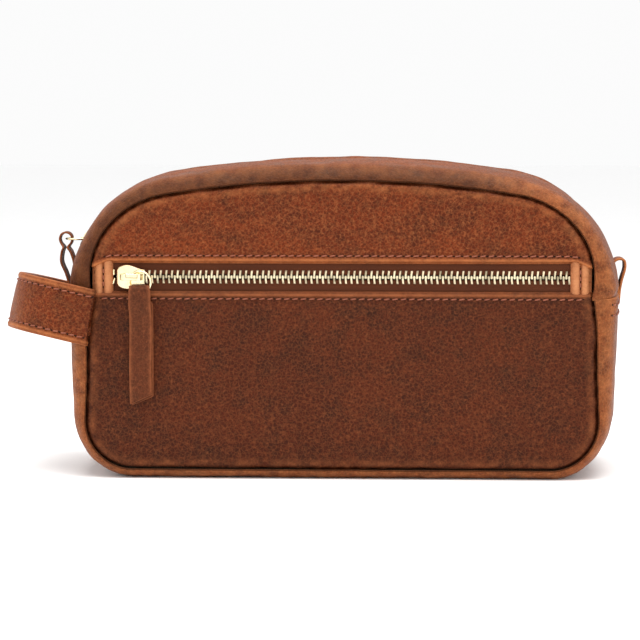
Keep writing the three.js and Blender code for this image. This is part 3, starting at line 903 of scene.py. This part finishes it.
def build_upper_front():
    line = over_top(260)
    seam = seam_line(line, PANEL_SEAM)
    kept = seam[seam[:, 1] > upper_low[2] - 2.4]
    outer = resample(np.stack([kept[:, 0], kept[:, 1], 0 * kept[:, 0]], axis=1), count=170)[:, :2]
    base_x = np.interp(np.linspace(0, 1, len(outer)), [0, 1], [outer[0, 0] - 0.25, outer[-1, 0] + 0.25])
    base_z = upper_edge(base_x)
    rise = edge_spacing(40)
    x = base_x[None] + (outer[:, 0] - base_x)[None] * rise[:, None]
    z = base_z[None] + (outer[:, 1] - base_z)[None] * rise[:, None]
    edges = (z - upper_edge(x),)
    nodes = ("upper_front_panel",)
    piece = panel_sheet("upper_front_leather", x, z, -1, UPPER_SEED, edges, nodes, LEATHER_LOOK)
    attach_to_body(piece, "front_flap")
    row, normals = row_on_panel(
        lambda x: upper_edge(x) + UPPER_SEW, SEAM_HALF - 4.6, -1, UPPER_SEED, UPPER_SEW
    )
    stitches("upper_front", row, normals, on_front_flap)


def build_back():
    top = seam_line(over_top(200), PANEL_SEAM)
    base = seam_line(under_base(200), PANEL_SEAM)
    keep = slice(1, -1)
    rise = edge_spacing(90, 0.8)[:, None, None]
    grid = base[None, keep] + (top - base)[None, keep] * rise
    x, z = grid[..., 0], grid[..., 1]
    nodes = ("lower_back_panel", "upper_back_panel")
    piece = panel_sheet("back_leather", x, z, 1, BACK_SEED, (), nodes, SHADED_LOWER_LOOK)
    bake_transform(piece)


# Zips

def tooth(hook):
    """A tooth's outline: along the tape, and towards the chain's centre line."""
    half = [(0.50, -TOOTH_FOOT), (0.46, -1.0), (0.50, -0.35), (0.60, 0.05), (0.50, 0.48), (0.24, 0.74)]
    outline = [(a + (hook * 0.3 if b < -2.5 else 0), b) for a, b in half]
    outline += [(-a + (hook * 0.3 if b < -2.5 else 0), b) for a, b in reversed(half)]
    return np.array(outline)


def teeth_row(name, places, toward, outward, along, attach, node):
    """places, toward, outward and along give each tooth's origin on the centre line and its directions."""
    outline = tooth(0.8)
    centre = np.array([0, -1.1])
    levels = [(-TOOTH_TOP, 0.72), (-TOOTH_TOP + 0.35, 1.0), (TOOTH_TOP - 0.42, 1.0), (TOOTH_TOP - 0.1, 0.82),
              (TOOTH_TOP, 0.5)]
    count = len(outline)
    vertices, faces, shade = [], [], []
    for p, t, o, a in zip(places, toward, outward, along):
        start = len(vertices)
        for height, scale in levels:
            flat = centre + (outline - centre) * np.array([scale, 1 - (1 - scale) * 0.22])
            vertices += [p + a * u + t * v + o * height for u, v in flat]
            shade += [0.75 if height < 0.4 else 0.0] * count
        for k in range(len(levels) - 1):
            low = start + k * count
            for i in range(count):
                j = (i + 1) % count
                faces.append((low + i, low + j, low + count + j, low + count + i))
        faces.append(tuple(start + i for i in reversed(range(count))))
        faces.append(tuple(start + (len(levels) - 1) * count + i for i in range(count)))
    piece = make(name, vertices, faces, TEETH_LOOK, "zip_teeth", smooth=False, shade=shade)
    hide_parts(node)
    attach(piece)


CHAIN_Y = (teeth_low[1] + teeth_high[1]) / 2
CHAIN_Z = (slider_low[2] + slider_high[2]) / 2


def build_pocket_teeth():
    for row, side in (("lower", 1), ("upper", -1)):
        start = teeth_low[0] + 0.6 + (PITCH / 2 if side < 0 else 0)
        x = np.arange(start, teeth_high[0] - 0.5, PITCH)
        places = np.stack([x, np.full_like(x, CHAIN_Y), np.full_like(x, CHAIN_Z)], axis=1)
        n = (len(x), 1)
        teeth_row(f"pocket_teeth_{row}", places, np.tile([0, 0, side], n), np.tile([0, -1, 0], n),
                  np.tile([1, 0, 0], n), on_bag, f"pocket_zip_teeth_{row}")


def build_pocket_tape():
    x = np.linspace(tab_low[0] - 1.5, 1.5 - tab_low[0], 180)
    lower = (box_mm("pocket_zip_tape_lower")[0][2], CHAIN_Z - TAPE_EDGE)
    upper = (CHAIN_Z + TAPE_EDGE, fold[2] + 1.5)
    for row, (low, high) in (("lower", lower), ("upper", upper)):
        z = np.linspace(low, high, 10)
        grid_x, grid_z = np.meshgrid(x, z)
        sag = 0.12 * wave(np.stack([grid_x, 0 * grid_x, grid_z], axis=-1), 14, 21)
        cord = 0.32 * hump(np.abs(grid_z - CHAIN_Z) - CORD_PLACE, CORD_WIDTH)
        y = CHAIN_Y - TAPE_THICKNESS / 2 - sag - cord
        points = np.stack([grid_x, y, grid_z], axis=-1)
        normals = facing(points, -1)
        piece = sheet(f"pocket_tape_{row}", points, normals, TAPE_THICKNESS,
                      TAPE_LOOK, "zip_tape", edge_wear=0)
        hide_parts(f"pocket_zip_tape_{row}")
        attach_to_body(piece, "bag")


def build_top_stops():
    for row, tilt in (("lower", 0.28), ("upper", 0.0)):
        low, high = box_mm(f"pocket_top_stop_{row}")
        centre = (low + high) / 2
        reach = 1.5 if row == "upper" else 1.6
        shift = -0.6 if row == "lower" else 0.6
        t = np.linspace(-1, 1, 9)
        centres = np.stack([
            centre[0] - 0.2 + tilt * t * reach,
            CHAIN_Y - 1.45 + 0.25 * t ** 2,
            centre[2] + shift + t * reach,
        ], axis=1)
        radii = 0.42 * np.sqrt(np.clip(1 - (0.95 * t) ** 6, 0, 1))
        across, up = np.tile([1.0, 0, 0], (9, 1)), np.tile([0, -1.0, 0], (9, 1))
        vertices, faces = tube(centres, across, up, radii, 10)
        piece = make(f"top_stop_{row}", vertices, faces, GOLD_LOOK, "hardware", shade=np.zeros(len(vertices)))
        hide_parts(f"pocket_top_stop_{row}")
        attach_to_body(piece, "bag")


def build_pocket_tabs():
    """Leather tabs over the tape's ends, with two rounded ridges and a stitched groove between."""
    for name, side in (("left", -1), ("right", 1)):
        low, high = box_mm(f"pocket_end_tab_{name}")
        width = high[0] - low[0] + 2.2
        inner = high[0] if side < 0 else low[0]
        u = np.linspace(0, 1, 34)
        z = np.linspace(low[2] - 0.6, high[2] + 0.8, 22)
        grid_u, grid_z = np.meshgrid(u, z)
        x = inner + side * grid_u * width
        ridges = 0.75 * np.abs(np.sin(np.pi * grid_u / 0.46)) ** 0.7 * (grid_u < 0.92)
        groove = hump(grid_u - 0.46, 0.06)
        fall = 1.2 * smoothstep(0.62, 1.0, grid_u) ** 2
        points = np.stack([x, low[1] + 0.2 - ridges + 0.25 * groove + fall, grid_z], axis=-1)
        points[..., 1] += 0.12 * wave(points, 5, 31)
        normals = facing(points, -1)
        # Lighter on the two ridges and less so in the stitched groove; shade is painted shade in the groove
        # and where the tab falls away.
        wear = 0.25 + 0.5 * ridges / 0.75 - 0.4 * groove
        shade = 0.7 * groove + 0.5 * smoothstep(0.85, 1.0, grid_u)
        piece = sheet(f"pocket_tab_{name}", points, normals, 1.0, TAB_LOOK, "leather", wear, shade, 0.3)
        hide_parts(f"pocket_end_tab_{name}")
        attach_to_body(piece, "bag")
        column = 15
        line = points[2:-3, column] + np.array([0, -0.1, 0])
        stitches(f"pocket_tab_{name}", line, normals[2:-3, column], on_bag, 2.9)


def rail(count=400):
    """The main zip's centre line over the top, between its tapes."""
    stations = over_top(count)
    inset = ZIP_RECESS + TAPE_THICKNESS / 2
    centre = on_body(stations, np.full(count, inset), 0.0)
    out = np.stack([stations[:, 2], np.zeros(count), stations[:, 3]], axis=1)
    return centre, out


def build_main_zip():
    centre, out = rail()
    length = run(centre)
    first = RAIL_RADIUS * TEETH_RIGHT_END
    last = length[-1] - RAIL_RADIUS * TEETH_LEFT_END
    for name, side, flap in (("front", -1, "front_flap"), ("back", 1, "back_flap")):
        at = np.arange(first + (PITCH / 2 if side > 0 else 0), last, PITCH)
        p = sample(centre, length, at)
        o = unit(sample(out, length, at))
        toward = np.tile([0.0, -side, 0.0], (len(at), 1))
        bend = bender()
        teeth_row(f"{name}_teeth", p, toward, o, np.cross(toward, o), bend, f"{name}_zip_teeth")
        y = side * np.linspace(TAPE_EDGE, MOUTH_HALF + 6.5, 12)
        grid = centre[None, ::2] + out[None, ::2] * (TAPE_THICKNESS / 2)
        grid = np.repeat(grid, len(y), axis=0)
        grid[..., 1] = y[:, None]
        cord = 0.3 * hump(np.abs(y) - CORD_PLACE, CORD_WIDTH)
        grid = grid + out[None, ::2] * cord[:, None, None]
        normals = np.broadcast_to(out[None, ::2], grid.shape)
        piece = sheet(f"{name}_tape", grid, normals, TAPE_THICKNESS, TAPE_LOOK, "zip_tape", edge_wear=0)
        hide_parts(f"{name}_zip_tape")
        bend(piece)


# Sliders, in their own frame: u along the chain, v outwards and w across

CHANNEL = 1.6
PLATE = 1.0
BRIDGE_LOW = 5.9
BRIDGE_TOP = 6.8
SLIDER_ANGLE = math.radians(25.5)
RING_WIRE = 0.5


def prism(mesh, outline, low, high, chamfer, axes=(0, 2, 1)):
    """Adds a chamfered prism to a bmesh: the outline in two axes, extruded along the third."""
    outline = np.array(outline, float)
    centre = outline.mean(axis=0)
    size = np.abs(outline - centre).max(axis=0)
    rings = []
    for level, cut in ((low, chamfer), (low + chamfer, 0), (high - chamfer, 0), (high, chamfer)):
        flat = centre + (outline - centre) * (1 - cut / np.maximum(size, 1e-6))
        ring = []
        for a, b in flat:
            p = [0, 0, 0]
            p[axes[0]], p[axes[1]], p[axes[2]] = a, b, level
            ring.append(mesh.verts.new(p))
        rings.append(ring)
    count = len(outline)
    for a, b in zip(rings, rings[1:]):
        for i in range(count):
            j = (i + 1) % count
            mesh.faces.new((a[i], a[j], b[j], b[i]))
    mesh.faces.new(list(reversed(rings[0])))
    return mesh.faces.new(rings[-1])


def slider_plate():
    half = curve_through([(-6.1, 3.0), (-5.0, 4.5), (-1.9, 5.45), (1.0, 4.9), (4.0, 3.75), (6.1, 3.3)], 4)
    return [tuple(p) for p in half] + [(u, -w) for u, w in half[::-1]]


def slider_object(name, place, node, body):
    """Two plates with turned-in flanges and a bridge over the top. place gives each point's position."""
    mesh = bmesh.new()
    plate = slider_plate()
    top = CHANNEL + PLATE
    prism(mesh, plate, CHANNEL, top, 0.3)
    prism(mesh, plate, -top, -CHANNEL, 0.3)
    for side in (-1, 1):
        flange = [(-3.6, side * 4.55), (-2.0, side * 4.95), (0.4, side * 4.75), (3.2, side * 3.85),
                  (3.2, side * 3.3), (0.4, side * 4.15), (-2.0, side * 4.4), (-3.6, side * 4.05)]
        prism(mesh, flange, CHANNEL - 0.75, CHANNEL + 0.1, 0.05)
        prism(mesh, flange, -CHANNEL - 0.1, -CHANNEL + 0.75, 0.05)
    outer = [(-5.0, top - 0.1), (-4.5, 4.4), (-3.9, 6.0), (-2.9, BRIDGE_TOP), (3.3, BRIDGE_TOP),
             (4.6, 6.1), (5.3, 4.4), (5.6, top - 0.1)]
    hole = [(-3.5, top - 0.1), (-3.3, 4.6), (-2.7, BRIDGE_LOW),
            (3.4, BRIDGE_LOW), (4.1, 4.6), (4.3, top - 0.1)]
    arch = [outer[i:i + 2] for i in range(len(outer) - 1)]
    matched = [0, 1, 2, 2, 3, 3, 4, 5]
    for k, (a, b) in enumerate(arch):
        c, d = hole[matched[k]], hole[matched[k + 1]]
        quad = [a, b, d, c] if c != d else [a, b, d]
        prism(mesh, quad, -1.35, 1.35, 0.12, (0, 1, 2))
    ridge = [(-4.4, -0.35), (-4.4, 0.35), (5.0, 0.3), (5.0, -0.3)]
    prism(mesh, ridge, top - 0.05, top + 0.35, 0.1)
    frame_outline = [(-1.9, -0.2), (-1.9, 1.7), (3.7, 1.55), (3.7, -0.35)]
    recess = prism(mesh, frame_outline, BRIDGE_TOP - 0.3, BRIDGE_TOP + 0.45, 0.2)
    bmesh.ops.inset_region(mesh, faces=[recess], thickness=0.3, depth=0.0)
    pushed = bmesh.ops.inset_region(mesh, faces=[recess], thickness=0.04, depth=-0.5)
    recess.material_index = 1
    for face in pushed["faces"]:
        face.material_index = 1
    bmesh.ops.recalc_face_normals(mesh, faces=mesh.faces)
    for vertex in mesh.verts:
        vertex.co = Vector(place(*vertex.co)) * MM
    bmesh.ops.recalc_face_normals(mesh, faces=mesh.faces)
    data = bpy.data.meshes.new(name)
    mesh.to_mesh(data)
    mesh.free()
    data.materials.append(GOLD_LOOK)
    data.materials.append(RECESS_LOOK)
    shade = data.attributes.new("shade", "FLOAT", "POINT")
    shade.data.foreach_set("value", [0.0] * len(data.vertices))
    piece = add_object(name, data)
    bevel = piece.modifiers.new("soft_edges", "BEVEL")
    bevel.width = 0.00012
    bevel.segments = 2
    bevel.limit_method = "ANGLE"
    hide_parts(node)
    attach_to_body(piece, body)


def wire_ring(name, low, high, wire, normal_axis, node, body):
    """A wire ring that fills a box across its flat side."""
    centre = (low + high) / 2
    radius = (high - low)[0] / 2 - wire
    vertices, faces = [], []
    around_count, wire_count = 56, 14
    for i in range(around_count):
        a = 2 * math.pi * i / around_count
        for k in range(wire_count):
            b = 2 * math.pi * k / wire_count
            r = radius + wire * math.cos(b)
            p = [0, 0, 0]
            first, second = [n for n in range(3) if n != normal_axis]
            p[first], p[second], p[normal_axis] = r * math.cos(a), r * math.sin(a), wire * math.sin(b)
            vertices.append(np.array(p) + centre)
    for i in range(around_count):
        for k in range(wire_count):
            a, b = i * wire_count, ((i + 1) % around_count) * wire_count
            j = (k + 1) % wire_count
            faces.append((a + k, b + k, b + j, a + j))
    piece = make(name, vertices, faces, GOLD_LOOK, "hardware", shade=np.zeros(len(vertices)))
    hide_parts(node)
    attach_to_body(piece, body)


def build_sliders():
    slider_x = (slider_low[0] + slider_high[0]) / 2
    slider_object("pocket_slider_body", lambda u, v, w: (slider_x + u, CHAIN_Y - v, CHAIN_Z + w),
                  "pocket_slider", "pocket_slider")

    def on_corner(u, v, w):
        angle = SLIDER_ANGLE - u / RAIL_RADIUS
        radius = RAIL_RADIUS + v
        return (-corner_x - radius * math.cos(angle), w, corner_z + radius * math.sin(angle))

    slider_object("main_slider_body", on_corner, "main_slider", "main_slider")
    wire_ring("pocket_ring_wire", ring_low, ring_high, RING_WIRE, 1, "pocket_ring", "pocket_ring")
    wire_ring("main_ring_wire", main_ring_low, main_ring_high, RING_WIRE, 2, "main_ring", "main_ring")


# Leather pulls and straps that follow a path

def strap(name, path, across, widths, thickness, material, slot, flip, ends, seed, ripple):
    """A flat strap whose outer face runs along path. ends slants the first and last edge."""
    w = np.linspace(-1, 1, 13)
    tangent = unit(np.gradient(path, axis=0))
    normal = unit(np.cross(tangent, across)) * flip
    grid = path[:, None] + across * (widths[:, None] * w[None])[..., None]
    fade = np.linspace(1, 0, len(path))
    grid = grid + tangent[:, None] * ((ends[0] * fade ** 8)[:, None] * w[None])[..., None]
    grid = grid + tangent[:, None] * ((ends[1] * fade[::-1] ** 8)[:, None] * w[None])[..., None]
    normals = np.broadcast_to(normal[:, None], grid.shape)
    grid = grid + normals * (ripple * wave(grid, 6, seed))[..., None]
    # Lighter towards both long edges: real edge wear, and a painted highlight along the edge.
    wear = 0.5 * np.abs(w)[None] ** 8 + 0.15 + 0 * grid[..., 0]
    return sheet(name, grid, normals, thickness, material, slot, wear, 0.0, 0.75)


PULL_PLY = 0.9


def build_pocket_pull():
    ring_y = (ring_low[1] + ring_high[1]) / 2
    ring_bottom = ring_low[2] + RING_WIRE
    centre_x = (pull_low[0] + pull_high[0]) / 2
    bottom = pull_low[2]
    side_view = [
        (ring_y - 1.02, bottom), (ring_y - 1.15, bottom + 14), (ring_y - 1.0, bottom + 28),
        (ring_y - 1.1, ring_bottom - 9), (ring_y - 1.7, ring_bottom - 3.2), (ring_y - 2.0, ring_bottom + 0.6),
        (ring_y - 1.9, ring_bottom + 2.1), (ring_y - 1.0, ring_bottom + 3.0), (ring_y, ring_bottom + 2.4),
        (ring_y + 0.9, ring_bottom + 1.2), (ring_y + 1.2, ring_bottom - 0.3),
        (ring_y + 1.15, ring_bottom - 3.2), (ring_y + 1.05, ring_bottom - 9),
        (ring_y + 1.05, bottom + 20), (ring_y + 1.05, bottom - 0.8),
    ]
    line = resample(np.array([(centre_x, y, z) for y, z in curve_through(side_view, 8)]), count=150)
    height = line[:, 2]
    back = smoothstep(ring_y - 1.4, ring_y - 0.6, line[:, 1])
    widths = 4.55 - 0.35 * smoothstep(0, 2.6, height - ring_bottom) * (1 - back)
    widths = widths - 2.2 * back * smoothstep(-5, -1.5, height - ring_bottom)
    line[:, 0] += 0.8 * back * smoothstep(ring_bottom, ring_bottom - 8, height)
    piece = strap("pocket_pull_leather", line, np.array([1.0, 0, 0]), widths, PULL_PLY,
                  PULL_LOOK, "pull_leather", 1, (2.1, -1.9), 44.0, 0.10)
    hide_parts("pocket_pull")
    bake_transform(piece)


def build_main_pull():
    hinge = joint_mm("main_pull_swing")
    x, z = hinge[0], hinge[2]
    bottom = main_pull_low[2]
    loop = [
        (x + 2.2, bottom), (x + 0.4, bottom + 5.5), (x - 1.6, bottom + 10.5),
        (x - 1.3, z - 6.2), (x - 0.55, z - 3.9), (x - 2.0, z - 1.6), (x - 2.4, z + 0.2),
        (x - 1.6, z + 1.9), (x, z + 2.5), (x + 1.6, z + 1.9),
        (x + 2.4, z + 0.2), (x + 2.0, z - 1.6), (x + 0.6, z - 3.9), (x + 2.0, z - 6.4),
        (x + 3.4, bottom + 10), (x + 3.6, bottom + 5.5), (x + 3.3, bottom + 0.8),
    ]
    line = resample(np.array([(a, 0.0, b) for a, b in curve_through(loop, 8)]), count=110)
    widths = 4.5 - 2.2 * np.exp(-((line[:, 2] - z) / 3.2) ** 4)
    piece = strap("main_pull_leather", line, np.array([0, 1.0, 0]), widths, PULL_PLY,
                  PULL_LOOK, "pull_leather", -1, (0.6, 0.6), 52.0, 0.10)
    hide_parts("main_pull")
    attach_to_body(piece, "main_pull")


HANDLE_REACH = 40.0
HANDLE_HALF = 12.0
HANDLE_TILT = math.radians(13)
HANDLE_SQUARE = 3.4
HANDLE_SAG = 8.0
HANDLE_OUTER = 1.5
HANDLE_INNER = 1.2
HANDLE_GAP = 0.3
HANDLE_TOTAL = HANDLE_INNER + HANDLE_GAP + HANDLE_OUTER


def handle_grid(offset, tuck):
    """One face of the handle: rows up its width, columns along it from the front seam to the back one."""
    turn = np.radians(np.linspace(-90, 90, 90))
    c = np.abs(np.cos(turn)) ** (2 / HANDLE_SQUARE)
    s = np.abs(np.sin(turn)) ** (2 / HANDLE_SQUARE) * np.sign(turn)
    half_span = HALF_DEPTH + 0.6
    path = np.stack([-(HANDLE_REACH - HANDLE_TOTAL + offset) * c, (half_span + offset) * s, 0 * c], axis=1)
    dive = np.linspace(1, 0, 8)[:-1]
    w = np.linspace(-HANDLE_HALF, HANDLE_HALF, 27)
    right_seam = seam_line(BASE_LINE)[:140][::-1]
    seam = np.interp(handle_pivot[2] + w, right_seam[:, 1], -right_seam[:, 0])
    reach = (seam + 0.1 - handle_pivot[0] - w * math.sin(HANDLE_TILT)) / math.cos(HANDLE_TILT)
    rows = []
    for level, ext in zip(w, reach):
        fall = tuck * dive ** 3
        front = np.stack([ext * dive, -(half_span + offset) + fall, 0 * dive], axis=1)
        back = front[::-1] * np.array([1, -1, 1])
        near = np.exp(path[:, 0] / 9)
        middle = path.copy()
        middle[:, 0] += np.minimum(ext, 0) * near
        row = np.concatenate([front, middle, back])
        row[:, 2] = level - HANDLE_SAG * (row[:, 1] + HALF_DEPTH) / (2 * HALF_DEPTH)
        rows.append(row)
    grid = np.array(rows)
    x = grid[..., 0] * math.cos(HANDLE_TILT) + grid[..., 2] * math.sin(HANDLE_TILT)
    z = -grid[..., 0] * math.sin(HANDLE_TILT) + grid[..., 2] * math.cos(HANDLE_TILT)
    return np.stack([handle_pivot[0] + x, grid[..., 1], handle_pivot[2] + z], axis=-1), w


def bend_handle(piece):
    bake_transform(piece)


def build_handle():
    """The outer strap and its backing. Each dives into the seam by its tuck."""
    for name, offset, thickness, node, tuck, relief, look, slot in (
        ("handle_outer", HANDLE_TOTAL, HANDLE_OUTER, "handle_strap", 2.4, 1, LEATHER_LOOK, "leather"),
        ("handle_inner", HANDLE_INNER, HANDLE_INNER, "handle_backing", 1.2, 0.4, PULL_LOOK, "pull_leather"),
    ):
        grid, w = handle_grid(offset, tuck)
        normals = normals_of(grid, np.array([-110.0, 0, 72.0]) + np.zeros_like(grid))
        edge = HANDLE_HALF - np.abs(w)[:, None]
        bead = 0.30 * hump(edge - 1.0, 0.8) - 0.28 * hump(edge - 2.3, 0.6)
        pad = 0.25 * smoothstep(2.5, 7, edge) + 0.14 * wave(grid, 9, 61)
        grid = grid + normals * ((bead + pad) * relief)[..., None]
        # Lighter on the edge beads as real edge wear; bend_light is a painted highlight where the strap bends
        # round its far end, and shade is painted shade towards the seams.
        wear = 0.65 * hump(edge - 0.8, 0.8) + 0 * grid[..., 0]
        bend_light = hump(grid[..., 0] + 150, 8)
        shade = 0.35 * smoothstep(-120, -112, grid[..., 0])
        wear = wear + 0.25 * bend_light
        piece = sheet(f"{name}_leather", grid, normals, thickness, look, slot, wear, shade, 0.6)
        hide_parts(node)
        bend_handle(piece)
        if name == "handle_outer":
            for label, row in (("lower", 3), ("upper", 23)):
                up = normals[row, 5:-5]
                stitches(f"handle_{label}", grid[row, 5:-5] - up * 0.02, up, bend_handle)


def build_end_tab():
    """The folded tab at the right: a teardrop that leans against the zip's end."""
    x, z = end_tab_low[0], end_tab_low[2]
    top = end_tab_high[2]
    loop = [
        (x + 0.9, z - 3.5), (x + 1.2, z + 1), (x + 2.2, z + 6), (x + 3.6, z + 11),
        (x + 3.3, top - 1.2), (x + 1.2, top), (x - 1.4, top - 0.6), (x - 3.2, top - 3), (x - 3.1, top - 6.2),
        (x - 1.6, z + 5.5), (x - 0.5, z + 1), (x - 0.4, z - 3.5),
    ]
    line = resample(np.array([(a, 0.0, b) for a, b in curve_through(loop, 8)]), count=96)
    widths = np.full(len(line), 6.6)
    piece = strap("end_tab_leather", line, np.array([0, 1.0, 0]), widths, 1.1,
                  RIM_LOOK, "leather", -1, (0, 0), 71.0, 0.12)
    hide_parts("zip_end_tab")
    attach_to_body(piece, "bag")


def lap_stitches():
    """Two stitch rows along the bottom gusset's lapped edge, at each side."""
    for name, side in (("right", 1), ("left", -1)):
        for row, drop in (("high", 2.3), ("low", 7.0)):
            y = np.linspace(-SEAM_DEPTH + 3, SEAM_DEPTH - 3, 90)
            z = corner_z - drop
            half = BASE_LINE[:len(BASE_LINE) // 2]
            base_x = np.interp(z, half[::-1, 1], half[::-1, 0])
            inset = face_inset(np.zeros_like(y), z, y)
            line = np.stack([side * (base_x - inset + 0.05), y, np.full_like(y, z)], axis=1)
            slope = np.gradient(inset, y)
            normals = unit(np.stack([side * np.ones_like(y), slope, 0 * y], axis=1))
            line[:, 0] += side * undulation(line, BASE_SEED)
            stitches(f"lap_{name}_{row}", line, normals, on_bag)


def dress_frame():
    """Materials for the CAD nodes that stay: the lining."""
    for name in ("lower_lining", "front_upper_lining", "back_upper_lining", "pocket_lining"):
        node = frame["nodes"][name]
        node.data.materials.clear()
        node.data.materials.append(LINING_LOOK)


def build_floor():
    size = 6.0
    corners = [(-size, -size, 0), (size, -size, 0), (size, size, 0), (-size, size, 0)]
    mesh = bpy.data.meshes.new("floor")
    mesh.from_pydata(corners, [], [(0, 1, 2, 3)])
    mesh.materials.append(floor_material())
    floor = add_object("floor", mesh)


def build_world():
    world = bpy.data.worlds.new("studio")
    world.use_nodes = True
    background = world.node_tree.nodes["Background"]
    background.inputs["Color"].default_value = (1, 1, 1, 1)
    background.inputs["Strength"].default_value = 0.97
    bpy.context.scene.world = world
    bpy.context.scene.view_settings.view_transform = "Standard"


build_camera()
build_world()
build_lights()
build_floor()
dress_frame()
build_bottom_gusset()
build_zip_gusset("front", -1)
build_zip_gusset("back", 1)
build_lower_front()
build_upper_front()
build_back()
build_pocket_tape()
build_pocket_teeth()
build_top_stops()
build_pocket_tabs()
build_main_zip()
build_sliders()
build_pocket_pull()
build_main_pull()
build_handle()
build_end_tab()
lap_stitches()
